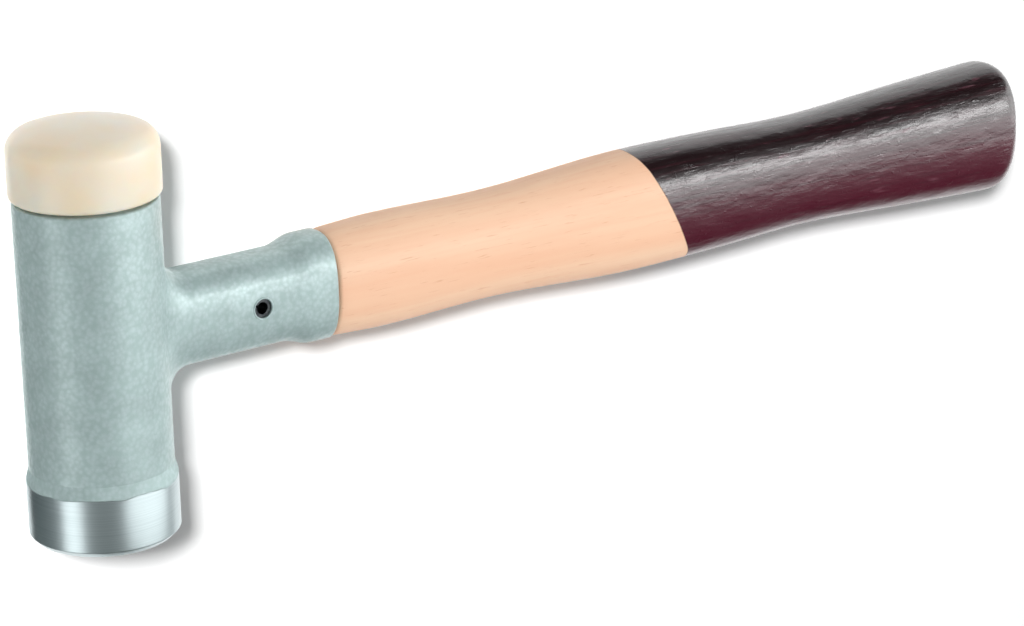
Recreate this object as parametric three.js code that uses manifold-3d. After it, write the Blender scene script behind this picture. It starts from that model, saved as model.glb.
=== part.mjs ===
// Dead blow hammer: a shot-filled steel head with one steel and one nylon face, on a pinned wooden handle.
// All sizes are in millimetres. The origin is the centre of the steel striking face, +Z runs up the head
// to the nylon face, and +X runs along the handle.
import * as THREE from "three";
import { mergeVertices } from "three/addons/utils/BufferGeometryUtils.js";
import Module from "manifold-3d";

const wasm = await Module();
wasm.setup();

// Head tube
const TUBE_RADIUS = 16.85;
const TUBE_WALL = 2.6;
const TUBE_LENGTH = 63.9;
const TUBE_EDGE_BREAK = 0.4;

// Steel striking face, which plugs the tube from below
const FACE_OVERHANG = 0.75;
const FACE_CHAMFER = 1.4;
const FACE_BAND_HEIGHT = 14.3;
const FACE_SHOULDER_HEIGHT = 2.8;
const FACE_SPIGOT_LENGTH = 10;
const SPIGOT_CHAMFER = 1;

// Nylon striking face, which plugs the tube from above
const NYLON_OVERHANG = 0.65;
const NYLON_SIDE_HEIGHT = 11.8;
const NYLON_EDGE_RADIUS = 4.6;
const NYLON_CROWN_RADIUS = 60;
const NYLON_FOOT_ROUND = 0.9;
const NYLON_SPIGOT_LENGTH = 12;

// Shot chamber between the two plugs
const DISC_THICKNESS = 3;
const SHOT_LAYERS = 3;
const SHOT_IN_RING = 7;

// Handle socket: an oval sleeve welded to the tube's side and belled at its mouth
const HANDLE_HEIGHT = 47.8;
const SOCKET_LENGTH = 44.55;
const SOCKET_WALL = 2.2;
const SOCKET_SQUARENESS = 2.6;
const NECK_HALF_HEIGHT = 11.4;
const NECK_HALF_WIDTH = 8.1;
const BELL_LENGTH = 7.5;
const BELL_RISE = 1.9;
const BELL_SPREAD = 0.8;
const MOUTH_LENGTH = 5.6;
const RIM_ROUND = 0.8;
const WELD_FILLET_ABOVE = 6;
const WELD_FILLET_BESIDE = 3;

// Wooden handle: it starts a step below the socket's rim, with each oval section at a share of its length
const HANDLE_LENGTH = 210.5;
const HANDLE_SQUARENESS = 2.3;
const RIM_STEP = 0.1;
const THROAT = { share: 0.076, halfHeight: 13.9, halfWidth: 9.3 };
const SLIM_WAIST = { share: 0.233, halfHeight: 13.3, halfWidth: 9.1 };
const PALM_FRONT = { share: 0.413, halfHeight: 15.4, halfWidth: 10.5 };
const PALM_BACK = { share: 0.575, halfHeight: 15, halfWidth: 10.6 };
const GRIP_WAIST = { share: 0.694, halfHeight: 14.3, halfWidth: 10.2 };
const BUTT_FLARE = { share: 0.874, halfHeight: 16.3, halfWidth: 11.4 };
const BUTT_FULL = { share: 1, halfHeight: 17.6, halfWidth: 12.2 };
const BUTT_EDGE_RADIUS = 6.6;
const BUTT_CROWN = 1.6;

// Spring pin that locks the handle in the socket
const PIN_FROM_TUBE = 23.75;
const PIN_RADIUS = 2.25;
const PIN_WALL = 0.75;
const PIN_SLOT = 0.9;
const PIN_RECESS = 0.5;

// Clearances
const FIT_CLEARANCE = 0.15;
const SEAT_GAP = 0.3;
const SHOT_GAP = 0.12;
const SHOT_SIDE_GAP = 0.63;

// Facets of round and oval forms
const ROUND_STEPS = 64;
const OVAL_STEPS = 44;
const ARC_STEPS = 6;
const CROWN_STEPS = 3;
const RUN_STEPS = 4;
const SHOT_DETAIL = 1;

// Heights and radii that follow from the sizes above
const boreRadius = TUBE_RADIUS - TUBE_WALL;
const plugRadius = boreRadius - FIT_CLEARANCE;
const tubeBottom = FACE_BAND_HEIGHT + FACE_SHOULDER_HEIGHT;
const tubeTop = tubeBottom + TUBE_LENGTH;
const chamberBottom = tubeBottom + FACE_SPIGOT_LENGTH;
const discTop = tubeTop - NYLON_SPIGOT_LENGTH;
const chamberTop = discTop - DISC_THICKNESS;
const socketReach = TUBE_RADIUS + SOCKET_LENGTH;
const pinReach = TUBE_RADIUS + PIN_FROM_TUBE;

// The shot is as large as lets a full ring of it lie inside the bore
const ringShare = Math.sin(Math.PI / SHOT_IN_RING);
const shotRadius = ((boreRadius - SEAT_GAP) * ringShare - SHOT_SIDE_GAP / 2) / (1 + ringShare);

// Finishes
const paint = { color: 0x9fb1af, roughness: 0.45, metalness: 0.3 };
const brightSteel = { color: 0xb9c2c2, roughness: 0.3, metalness: 1 };
const springSteel = { color: 0x4a4d50, roughness: 0.4, metalness: 1 };
const nylon = { color: 0xefe2cb, roughness: 0.5, metalness: 0 };
const lacqueredWood = { color: 0xd9a87c, roughness: 0.5, metalness: 0 };

function piece(name, geometry, finish) {
  const mesh = new THREE.Mesh(geometry, new THREE.MeshStandardMaterial(finish));
  mesh.name = name;
  return mesh;
}

// Points of an arc, angles in degrees from the outward direction, as [radius, height] pairs
function arc(centreRadius, centreHeight, radius, fromDegrees, toDegrees) {
  return Array.from({ length: ARC_STEPS + 1 }, (_, step) => {
    const degrees = THREE.MathUtils.lerp(fromDegrees, toDegrees, step / ARC_STEPS);
    const turn = THREE.MathUtils.degToRad(degrees);
    return [centreRadius + radius * Math.cos(turn), centreHeight + radius * Math.sin(turn)];
  });
}

// Turns a profile of [radius, height] pairs about the head's axis
function turned(profile) {
  const points = profile.map(([radius, height]) => new THREE.Vector2(radius, height));
  return new THREE.LatheGeometry(points, ROUND_STEPS).rotateX(Math.PI / 2);
}

// A geometry as a solid that can be cut, and a cut solid as a geometry
function toSolid(geometry) {
  const bare = geometry.clone();
  bare.deleteAttribute("normal");
  bare.deleteAttribute("uv");
  const merged = mergeVertices(bare);
  const vertProperties = new Float32Array(merged.attributes.position.array);
  const triVerts = new Uint32Array(merged.index.array);
  return new wasm.Manifold(new wasm.Mesh({ numProp: 3, vertProperties, triVerts }));
}

function toGeometry(solid) {
  const mesh = solid.getMesh();
  const geometry = new THREE.BufferGeometry();
  geometry.setAttribute("position", new THREE.BufferAttribute(mesh.vertProperties, 3));
  geometry.setIndex(new THREE.BufferAttribute(mesh.triVerts, 1));
  geometry.computeVertexNormals();
  return geometry;
}

// Joins rings with equal numbers of points into one skin, closed on itself or capped at both ends
function skinned(rings, closedOnItself) {
  const sides = rings[0].length;
  const spans = closedOnItself ? rings.length : rings.length - 1;
  const index = [];
  for (let ring = 0; ring < spans; ring++) {
    const here = ring * sides;
    const next = ((ring + 1) % rings.length) * sides;
    for (let side = 0; side < sides; side++) {
      const beside = (side + 1) % sides;
      index.push(here + side, here + beside, next + side);
      index.push(here + beside, next + beside, next + side);
    }
  }
  if (!closedOnItself) {
    const last = spans * sides;
    for (let side = 1; side < sides - 1; side++) {
      index.push(0, side + 1, side);
      index.push(last, last + side, last + side + 1);
    }
  }
  const geometry = new THREE.BufferGeometry().setFromPoints(rings.flat());
  geometry.setIndex(index);
  geometry.computeVertexNormals();
  return geometry;
}

// A rounded-oval ring across the handle's axis; its reach is a function of how far a point lies sideways
function ovalRing(reachAt, { halfWidth, halfHeight }, squareness) {
  const swell = (share) => Math.sign(share) * Math.abs(share) ** (2 / squareness);
  return Array.from({ length: OVAL_STEPS }, (_, side) => {
    const turn = (2 * Math.PI * side) / OVAL_STEPS;
    const across = halfWidth * swell(Math.cos(turn));
    return new THREE.Vector3(reachAt(across), across, halfHeight * swell(Math.sin(turn)));
  });
}

const flatAt = (reach) => () => reach;
const aroundTube = (radius) => (across) => Math.sqrt(radius ** 2 - across ** 2);
const grown = (section, rise, spread = rise) => ({
  halfWidth: section.halfWidth + spread,
  halfHeight: section.halfHeight + rise,
});

// Steel striking face: chamfered band, conical shoulder up to the tube, and a spigot that plugs it
function steelFace() {
  const faceRadius = TUBE_RADIUS + FACE_OVERHANG;
  return turned([
    [0, 0],
    [faceRadius - FACE_CHAMFER, 0],
    [faceRadius, FACE_CHAMFER],
    [faceRadius, FACE_BAND_HEIGHT],
    [TUBE_RADIUS, tubeBottom],
    [plugRadius, tubeBottom],
    [plugRadius, chamberBottom - SPIGOT_CHAMFER],
    [plugRadius - SPIGOT_CHAMFER, chamberBottom],
    [0, chamberBottom],
  ]);
}

// Head tube, open at both ends for the plugs
function headTube() {
  return turned([
    [boreRadius, tubeBottom],
    [TUBE_RADIUS, tubeBottom],
    [TUBE_RADIUS, tubeTop - TUBE_EDGE_BREAK],
    [TUBE_RADIUS - TUBE_EDGE_BREAK, tubeTop],
    [boreRadius, tubeTop],
    [boreRadius, tubeBottom],
  ]);
}

// Nylon striking face: spigot, rounded foot, straight side, large edge round and a tangent crown
function nylonFace() {
  const sideRadius = TUBE_RADIUS + NYLON_OVERHANG;
  const footRadius = sideRadius - NYLON_FOOT_ROUND;
  const edgeRadius = sideRadius - NYLON_EDGE_RADIUS;
  const sideTop = tubeTop + NYLON_SIDE_HEIGHT;
  const tilt = Math.asin(edgeRadius / (NYLON_CROWN_RADIUS - NYLON_EDGE_RADIUS));
  const crownCentre = sideTop - edgeRadius / Math.tan(tilt);
  const edgeEnd = 90 - THREE.MathUtils.radToDeg(tilt);
  return turned([
    [0, discTop],
    [plugRadius - SPIGOT_CHAMFER, discTop],
    [plugRadius, discTop + SPIGOT_CHAMFER],
    [plugRadius, tubeTop],
    ...arc(footRadius, tubeTop + NYLON_FOOT_ROUND, NYLON_FOOT_ROUND, -90, 0),
    ...arc(edgeRadius, sideTop, NYLON_EDGE_RADIUS, 0, edgeEnd),
    ...arc(0, crownCentre, NYLON_CROWN_RADIUS, edgeEnd, 90).slice(1, -1),
    [0, crownCentre + NYLON_CROWN_RADIUS],
  ]);
}

// Closing disc that keeps the shot in its chamber
function closingDisc() {
  return turned([
    [0, chamberTop],
    [plugRadius, chamberTop],
    [plugRadius, discTop],
    [0, discTop],
  ]);
}

// Places of the shot: layers on the steel plug, each a ring inside the bore around a middle ball
function shotPlaces() {
  const ringRadius = boreRadius - SEAT_GAP - shotRadius;
  const places = [];
  for (let layer = 0; layer < SHOT_LAYERS; layer++) {
    const height = chamberBottom + SEAT_GAP + shotRadius + layer * (2 * shotRadius + SHOT_GAP);
    places.push(new THREE.Vector3(0, 0, height));
    for (let ball = 0; ball < SHOT_IN_RING; ball++) {
      const turn = (2 * Math.PI * ball) / SHOT_IN_RING;
      places.push(new THREE.Vector3(ringRadius * Math.cos(turn), ringRadius * Math.sin(turn), height));
    }
  }
  return places;
}

// Outside of the socket at a reach from the head's axis: the neck, then the bell up to the mouth
const bellStart = socketReach - MOUTH_LENGTH - BELL_LENGTH;
function socketSection(reach) {
  const bell = THREE.MathUtils.smoothstep(reach, bellStart, bellStart + BELL_LENGTH);
  const neck = { halfWidth: NECK_HALF_WIDTH, halfHeight: NECK_HALF_HEIGHT };
  return grown(neck, BELL_RISE * bell, BELL_SPREAD * bell);
}

const bellReaches = Array.from(
  { length: ARC_STEPS + 1 },
  (_, step) => bellStart + (BELL_LENGTH * step) / ARC_STEPS,
);

const pinHole = () => new THREE.CylinderGeometry(
  PIN_RADIUS + FIT_CLEARANCE,
  PIN_RADIUS + FIT_CLEARANCE,
  4 * NECK_HALF_WIDTH,
  ROUND_STEPS / 2,
).translate(pinReach, 0, 0);

// Handle socket: weld fillet rings that follow the tube, the neck, the bell and the bore back again
function handleSocket() {
  const rootRadius = TUBE_RADIUS - SOCKET_WALL;
  const root = grown(socketSection(0), WELD_FILLET_ABOVE, WELD_FILLET_BESIDE);
  const rings = [ovalRing(aroundTube(rootRadius), root, SOCKET_SQUARENESS)];
  for (let step = 0; step <= ARC_STEPS; step++) {
    const turn = (Math.PI / 2) * (step / ARC_STEPS);
    const sunk = 1 - Math.sin(turn);
    const section = grown(socketSection(0), WELD_FILLET_ABOVE * sunk, WELD_FILLET_BESIDE * sunk);
    const offTube = WELD_FILLET_ABOVE * (1 - Math.cos(turn));
    rings.push(ovalRing(aroundTube(TUBE_RADIUS + offTube), section, SOCKET_SQUARENESS));
  }
  const rimStart = socketReach - RIM_ROUND;
  for (const reach of [...bellReaches, rimStart]) {
    rings.push(ovalRing(flatAt(reach), socketSection(reach), SOCKET_SQUARENESS));
  }
  const rim = socketSection(socketReach);
  rings.push(ovalRing(flatAt(socketReach), grown(rim, -RIM_ROUND), SOCKET_SQUARENESS));
  for (const reach of [socketReach, ...bellReaches.toReversed()]) {
    rings.push(ovalRing(flatAt(reach), grown(socketSection(reach), -SOCKET_WALL), SOCKET_SQUARENESS));
  }
  rings.push(ovalRing(aroundTube(rootRadius), grown(socketSection(0), -SOCKET_WALL), SOCKET_SQUARENESS));
  const seatRadius = TUBE_RADIUS + SEAT_GAP;
  const seat = new THREE.CylinderGeometry(
    seatRadius,
    seatRadius,
    3 * root.halfHeight,
    2 * ROUND_STEPS,
  ).rotateX(Math.PI / 2);
  return toGeometry(toSolid(skinned(rings, true)).subtract(toSolid(seat)).subtract(toSolid(pinHole())));
}

// Wooden handle: a tang that fills the socket, a shoulder at its rim, the shaped grip and a rounded butt
function woodenHandle() {
  const tangAt = (reach) => grown(socketSection(reach), -SOCKET_WALL - FIT_CLEARANCE);
  const shoulder = socketReach + SEAT_GAP;
  const tangStart = TUBE_RADIUS + 2 * SEAT_GAP;
  const rings = [tangStart, ...bellReaches, shoulder].map((reach) =>
    ovalRing(flatAt(reach), tangAt(reach), SOCKET_SQUARENESS),
  );
  const rim = { share: 0, ...grown(socketSection(socketReach), -RIM_STEP) };
  const sections = [
    rim,
    THROAT,
    SLIM_WAIST,
    PALM_FRONT,
    PALM_BACK,
    GRIP_WAIST,
    BUTT_FLARE,
    BUTT_FULL,
  ].map(({ share, halfWidth, halfHeight }) => (
    new THREE.Vector3(shoulder + share * HANDLE_LENGTH, halfWidth, halfHeight)
  ));
  const grip = new THREE.CatmullRomCurve3(sections).getPoints(RUN_STEPS * (sections.length - 1));
  for (const { x, y, z } of grip) {
    rings.push(ovalRing(flatAt(x), { halfWidth: y, halfHeight: z }, HANDLE_SQUARENESS));
  }
  const buttReach = shoulder + HANDLE_LENGTH;
  for (const [inset, along] of arc(0, 0, BUTT_EDGE_RADIUS, 0, 90).slice(1)) {
    const edge = grown(BUTT_FULL, inset - BUTT_EDGE_RADIUS);
    rings.push(ovalRing(flatAt(buttReach + along), edge, HANDLE_SQUARENESS));
  }
  const end = grown(BUTT_FULL, -BUTT_EDGE_RADIUS);
  for (let step = 1; step < CROWN_STEPS; step++) {
    const share = 1 - step / CROWN_STEPS;
    const section = { halfWidth: end.halfWidth * share, halfHeight: end.halfHeight * share };
    const bulge = BUTT_EDGE_RADIUS + BUTT_CROWN * (1 - share ** 2);
    rings.push(ovalRing(flatAt(buttReach + bulge), section, HANDLE_SQUARENESS));
  }
  return toGeometry(toSolid(skinned(rings, false)).subtract(toSolid(pinHole())));
}

// Spring pin: a rolled strip with an open slot along its length
function crossPin() {
  const length = 2 * (NECK_HALF_WIDTH - PIN_RECESS);
  const innerRadius = PIN_RADIUS - PIN_WALL;
  const outerSlot = Math.asin(PIN_SLOT / 2 / PIN_RADIUS);
  const innerSlot = Math.asin(PIN_SLOT / 2 / innerRadius);
  const strip = new THREE.Shape();
  strip.absarc(0, 0, PIN_RADIUS, outerSlot, 2 * Math.PI - outerSlot, false);
  strip.absarc(0, 0, innerRadius, 2 * Math.PI - innerSlot, innerSlot, true);
  const rolled = new THREE.ExtrudeGeometry(strip, {
    depth: length,
    bevelEnabled: false,
    curveSegments: ROUND_STEPS / 4,
  });
  return rolled.translate(0, 0, -length / 2).rotateX(Math.PI / 2);
}

// Head: the tube with both striking faces, and the chamber with its disc and shot
const head = new THREE.Group();
head.add(piece("steel_face", steelFace(), brightSteel));
head.add(piece("head_tube", headTube(), paint));
head.add(piece("nylon_face", nylonFace(), nylon));
head.add(piece("closing_disc", closingDisc(), brightSteel));

const shot = new THREE.Group();
shotPlaces().forEach((place, number) => {
  const name = `shot_${String(number + 1).padStart(2, "0")}`;
  const ball = piece(name, new THREE.IcosahedronGeometry(shotRadius, SHOT_DETAIL), brightSteel);
  ball.position.copy(place);
  shot.add(ball);
});

// Handle: the socket, the wood in it and the pin through both
const handle = new THREE.Group();
handle.position.z = HANDLE_HEIGHT;
handle.add(piece("handle_socket", handleSocket(), paint));
handle.add(piece("handle", woodenHandle(), lacqueredWood));
const pin = piece("cross_pin", crossPin(), springSteel);
pin.position.x = pinReach;
handle.add(pin);

const hammer = new THREE.Group();
hammer.add(head, shot, handle);

export default hammer;
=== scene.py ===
# %% [markdown]
# # A dead blow hammer on a white sheet
# The hammer has a painted steel head full of loose shot, a bright steel face below, a nylon face above
# and a wooden handle dipped in dark red lacquer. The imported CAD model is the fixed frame: every piece
# made here takes its place and its main sizes from it and rides on one of its bodies. All but a bead of
# paint stand for one of its nodes.

import math

import bmesh
import bpy
from mathutils import Color, Matrix, Vector


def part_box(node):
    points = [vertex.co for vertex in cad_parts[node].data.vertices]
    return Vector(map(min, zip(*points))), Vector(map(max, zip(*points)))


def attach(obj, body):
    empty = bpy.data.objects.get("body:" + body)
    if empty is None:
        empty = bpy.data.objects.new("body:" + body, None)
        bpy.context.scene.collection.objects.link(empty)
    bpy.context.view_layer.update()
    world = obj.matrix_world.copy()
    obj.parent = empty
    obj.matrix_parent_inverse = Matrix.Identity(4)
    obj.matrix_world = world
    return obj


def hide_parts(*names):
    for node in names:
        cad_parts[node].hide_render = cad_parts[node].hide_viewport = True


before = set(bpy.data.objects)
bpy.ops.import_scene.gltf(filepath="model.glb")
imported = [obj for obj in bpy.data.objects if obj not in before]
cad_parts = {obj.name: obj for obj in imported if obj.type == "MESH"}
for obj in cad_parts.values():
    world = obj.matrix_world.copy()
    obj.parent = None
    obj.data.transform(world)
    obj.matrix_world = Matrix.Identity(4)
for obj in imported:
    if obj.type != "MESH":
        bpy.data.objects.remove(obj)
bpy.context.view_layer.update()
scene = bpy.context.scene
scene.view_settings.view_transform = "Standard"

# %% [markdown]
# ## Main sizes
# The boxes of the CAD nodes give the head's radii and heights, the handle's axis and the pin's place.
# They could be typed in again, but then the looks would not follow a change of the model. They are kept
# in millimetres, as on a workshop drawing, and turned into metres where a vertex is made.

# %% Measure the CAD nodes
MM = 0.001


def box_in_mm(node):
    """The lowest and the highest corner of a CAD node."""
    low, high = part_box(node)
    return low / MM, high / MM


tube_low, tube_high = box_in_mm("head_tube")
nylon_low, nylon_high = box_in_mm("nylon_face")
handle_low, handle_high = box_in_mm("handle")
pin_low, pin_high = box_in_mm("cross_pin")
steel_high = box_in_mm("steel_face")[1]
socket_high = box_in_mm("handle_socket")[1]
TUBE_RADIUS = tube_high.x
AXIS_HEIGHT = (handle_low.z + handle_high.z) / 2
pin_centre = (pin_low + pin_high) / 2
print("tube radius", round(TUBE_RADIUS, 2), "mm, handle axis at", round(AXIS_HEIGHT, 2), "mm")

# %% [markdown]
# ## Building nodes with few lines
# Each finish is a small graph of shader nodes. In the editor it would be drawn by hand; here one helper
# adds a node, sets its values and links its inputs, so that a finish reads as a list of steps. Colours
# are written as the 0 to 255 values that a picture shows, and Blender turns them into the linear values
# of its shaders.

# %% Colours and nodes
def colour(red, green, blue):
    """A picture colour as the linear colour that shaders work with."""
    linear = Color((red / 255, green / 255, blue / 255)).from_srgb_to_scene_linear()
    return (*linear, 1)


def add_node(tree, kind, inputs=(), **settings):
    """Adds a shader node; an input is set to a value or linked to another node's output."""
    node = tree.nodes.new("ShaderNode" + kind)
    for name, value in settings.items():
        setattr(node, name, value)
    for name, value in dict(inputs).items():
        if isinstance(value, bpy.types.NodeSocket):
            tree.links.new(value, node.inputs[name])
        else:
            node.inputs[name].default_value = value
    return node


print("a grey of 128 in a picture is", round(colour(128, 128, 128)[0], 3), "in a shader")

# %% [markdown]
# ## Patterns from noise
# Paint, wood and scuffed lacquer are uneven, each in its own way. Most of it is noise, even or drawn
# out along an axis, that is cut to a range of values and then chooses between two colours or two
# numbers. Each helper does one such step. Most values of noise lie near 0.5, so the two named ranges
# take in nearly all of it.

# %% Values, patterns and mixtures
WHOLE = (0.0, 1.0)
MOST_NOISE = (0.3, 0.7)
MIDDLE_NOISE = (0.35, 0.65)


def calculate(tree, operation, first, second):
    """One step of arithmetic on two values."""
    return add_node(tree, "Math", {0: first, 1: second}, operation=operation).outputs[0]


def fade(tree, value, limits=WHOLE, ends=WHOLE):
    """The first end below the lower limit, the second above the upper one, and an even slope between."""
    low, high = limits
    start, end = ends
    inputs = {"Value": value, "From Min": low, "From Max": high, "To Min": start, "To Max": end}
    return add_node(tree, "MapRange", inputs).outputs["Result"]


def mix_colours(tree, share, first, second, blend="MIX"):
    """The first colour at a share of 0, the second at 1. A Mix node's colour sockets go by number."""
    FIRST_COLOUR, SECOND_COLOUR, COLOUR_OUT = 6, 7, 2
    inputs = {"Factor": share, FIRST_COLOUR: first, SECOND_COLOUR: second}
    return add_node(tree, "Mix", inputs, data_type="RGBA", blend_type=blend).outputs[COLOUR_OUT]


def noise(tree, place, size, detail=2.0):
    """Even noise with patches of a size in mm."""
    inputs = {"Vector": place, "Scale": 1 / (size * MM), "Detail": detail}
    return add_node(tree, "TexNoise", inputs).outputs["Fac"]


def streaky_noise(tree, place, repeats, detail):
    """Noise drawn out along an axis, with its repeats per metre along X, Y and Z."""
    drawn_out = add_node(tree, "Mapping", {"Vector": place, "Scale": repeats}).outputs["Vector"]
    inputs = {"Vector": drawn_out, "Scale": 1.0, "Detail": detail}
    return add_node(tree, "TexNoise", inputs).outputs["Fac"]


def edge_limits(middle, blur):
    """The limits, in metres, of a fade across a painted edge."""
    return (middle - blur) * MM, (middle + blur) * MM


print("noise is used from", MOST_NOISE[0], "to", MOST_NOISE[1])

# %% [markdown]
# ## Starting a finish
# Every finish is one Principled shader, because the same few values cover metal, paint, plastic and
# lacquer. The patterns use object coordinates, so that nothing has to be unwrapped and no pattern
# stretches. Fine relief is a bump, which only bends the light. A coat has a normal of its own, so the
# bump is linked there as well.

# %% Starting a finish
BUMP_STRENGTH = 0.5


def new_finish(name, **settings):
    """A material with one Principled shader, its node tree and the object coordinates."""
    finish = bpy.data.materials.new(name)
    finish.use_nodes = True
    tree = finish.node_tree
    shader = tree.nodes["Principled BSDF"]
    for setting, value in settings.items():
        socket = setting.replace("_", " ").title().replace("Ior", "IOR")
        shader.inputs[socket].default_value = value
    place = add_node(tree, "TexCoord").outputs["Object"]
    return finish, tree, shader, place


def add_bump(tree, shader, height, strength=BUMP_STRENGTH):
    """Fine relief from a height in mm."""
    bump = add_node(tree, "Bump", {"Height": height, "Distance": MM, "Strength": strength})
    for socket in ("Normal", "Coat Normal"):
        tree.links.new(bump.outputs["Normal"], shader.inputs[socket])


print("bumps work at a strength of", BUMP_STRENGTH)

# %% [markdown]
# ## Turning round pieces
# The round pieces of the head are turned: an outline of corners, each with a rounding, is spun about
# the head's axis, as on a lathe. Cylinders with bevels could do it too, but an outline shows every size
# of the drawing, and its edge loops stay clean, so that the rounded edges catch the light evenly.

# %% Turning an outline
TURN_STEPS = 160
ROUND_STEPS = 6


def rounded(corners):
    """Points of an outline of (reach, height, rounding) corners; a rounding makes a tangent arc."""
    points = []
    for number, (reach, height, rounding) in enumerate(corners):
        corner = Vector((reach, height))
        if not rounding:
            points.append(corner)
            continue
        before = (Vector(corners[number - 1][:2]) - corner).normalized()
        after = (Vector(corners[number + 1][:2]) - corner).normalized()
        half_angle = before.angle(after) / 2
        middle = corner + (before + after).normalized() * rounding / math.sin(half_angle)
        start = (corner + before * rounding / math.tan(half_angle) - middle).normalized()
        end = (corner + after * rounding / math.tan(half_angle) - middle).normalized()
        turns = [start.slerp(end, step / ROUND_STEPS) for step in range(ROUND_STEPS + 1)]
        points += [middle + turn * rounding for turn in turns]
    return points


def turned(corners, closed=False):
    """Spins an outline about the head's axis."""
    bm = bmesh.new()
    points = [bm.verts.new((reach * MM, 0, height * MM)) for reach, height in rounded(corners)]
    ends = points[1:] + points[:1] if closed else points[1:]
    lines = [bm.edges.new(pair) for pair in zip(points, ends)]
    bmesh.ops.spin(
        bm,
        geom=points + lines,
        axis=(0, 0, 1),
        cent=(0, 0, 0),
        angle=2 * math.pi,
        steps=TURN_STEPS,
        use_merge=True,
    )
    return bm


print("a turn has", TURN_STEPS, "steps, a rounding has", ROUND_STEPS)

# %% [markdown]
# ## From mesh to piece
# A piece of the part needs more than a mesh: closed seams, faces that point outwards, smooth shading
# with sharp edges kept, a finish, the body that carries it and the CAD node that it stands for. One
# helper does all of it, so that no piece can miss a step.

# %% Finishing a piece
MERGE_DISTANCE = 1e-7
SHARP_DEGREES = 50


def finish_piece(bm, name, material, node):
    """Turns a bmesh into a smooth piece that rides on the hammer and stands for a CAD node."""
    bmesh.ops.remove_doubles(bm, verts=bm.verts, dist=MERGE_DISTANCE)
    bmesh.ops.recalc_face_normals(bm, faces=bm.faces)
    for face in bm.faces:
        face.smooth = True
    mesh = bpy.data.meshes.new(name)
    bm.to_mesh(mesh)
    bm.free()
    mesh.set_sharp_from_angle(angle=math.radians(SHARP_DEGREES))
    mesh.materials.append(material)
    piece = bpy.data.objects.new(name, mesh)
    scene.collection.objects.link(piece)
    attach(piece, "hammer")
    if node:
        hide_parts(node)
    print(name, "has", len(mesh.polygons), "faces")
    return piece


print("edges over", SHARP_DEGREES, "degrees stay sharp")

# %% [markdown]
# ## Mottled colour of the paint
# The head and the socket wear hammertone enamel, whose oil leaves small pools as it dries: paler pools
# with darker, greener seams between them. A picture of paint could be wrapped round the head, but it
# would stretch. Cells of a Voronoi texture in object space, bent by noise, give pools of one true size
# on every piece.

# %% Mottled colour
POOL_SIZE = 1.1
WANDER_SIZE = 1.6 * POOL_SIZE
WANDER_REACH = 0.8 * POOL_SIZE
POOL_SMOOTHNESS = 0.7
SPECK_SIZE = 0.5
SPECK_HEIGHT = 0.5
CLOUD_SIZE = 7
POOL_EDGE = (0.45, 0.95)
SPECK_EDGE = (0.62, 0.74)
SPECK_SHARE = (0.0, 0.5)
CLOUD_SHADE = (0.91, 1.07)
PAINT_PALE = colour(180, 199, 199)
PAINT_SEAM = colour(165, 187, 185)
PAINT_SPECK = colour(188, 205, 205)


def bent_cells(tree, place):
    """The distance from the middle of each pool, in cells that noise has bent out of shape."""
    wander = add_node(tree, "TexNoise", {"Vector": place, "Scale": 1 / (WANDER_SIZE * MM)})
    reach = {0: wander.outputs["Color"], "Scale": WANDER_REACH * MM}
    bend = add_node(tree, "VectorMath", reach, operation="SCALE").outputs[0]
    bent = add_node(tree, "VectorMath", {0: place, 1: bend}, operation="ADD").outputs[0]
    inputs = {"Vector": bent, "Scale": 1 / (POOL_SIZE * MM), "Smoothness": POOL_SMOOTHNESS}
    return add_node(tree, "TexVoronoi", inputs, feature="SMOOTH_F1").outputs["Distance"]


def paint_colour(tree, place):
    """The mottled colour, and a value that is low in the pools and high in the seams."""
    specks = noise(tree, place, SPECK_SIZE, detail=3.0)
    raised = calculate(tree, "MULTIPLY", specks, SPECK_HEIGHT)
    pools = calculate(tree, "ADD", bent_cells(tree, place), raised)
    pooled = mix_colours(tree, fade(tree, pools, POOL_EDGE), PAINT_PALE, PAINT_SEAM)
    speckled = mix_colours(tree, fade(tree, specks, SPECK_EDGE, SPECK_SHARE), pooled, PAINT_SPECK)
    shade = fade(tree, noise(tree, place, CLOUD_SIZE, detail=4.0), MOST_NOISE, CLOUD_SHADE)
    clouds = add_node(tree, "CombineColor", {"Red": shade, "Green": shade, "Blue": shade}).outputs[0]
    return mix_colours(tree, 1.0, speckled, clouds, "MULTIPLY"), pools


print("paint pools of", POOL_SIZE, "mm")

# %% [markdown]
# ## Hammertone paint
# Aluminium flakes in the enamel give it a dull sheen, and its pools stand a little higher than the
# seams. A modelled relief would need millions of faces. A small share of metal, a thin coat and a bump
# do the same: the pools are smoother than the seams, so that a highlight breaks up on them.

# %% Hammertone paint
PAINT_METAL = 0.22
PAINT_COAT = 0.15
SEAM_EDGE = (0.4, 1.0)
SEAM_ROUGHNESS = (0.36, 0.5)
POOL_SLOPE = (0.3, 1.1)
POOL_HEIGHT = 0.05

hammertone, tree, shader, place = new_finish(
    "hammertone_paint",
    metallic=PAINT_METAL,
    coat_weight=PAINT_COAT,
)
mottle, pools = paint_colour(tree, place)
tree.links.new(mottle, shader.inputs["Base Color"])
tree.links.new(fade(tree, pools, SEAM_EDGE, SEAM_ROUGHNESS), shader.inputs["Roughness"])
add_bump(tree, shader, fade(tree, pools, POOL_SLOPE, (POOL_HEIGHT, 0.0)))
print("paint pools stand", POOL_HEIGHT, "mm high")

# %% [markdown]
# ## Head tube
# The head is a plain steel tube with its upper edge broken. A cylinder primitive would leave that edge
# razor sharp and the inside solid; a turned outline has the wall, and a small round where the paint
# softens the edge.

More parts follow.
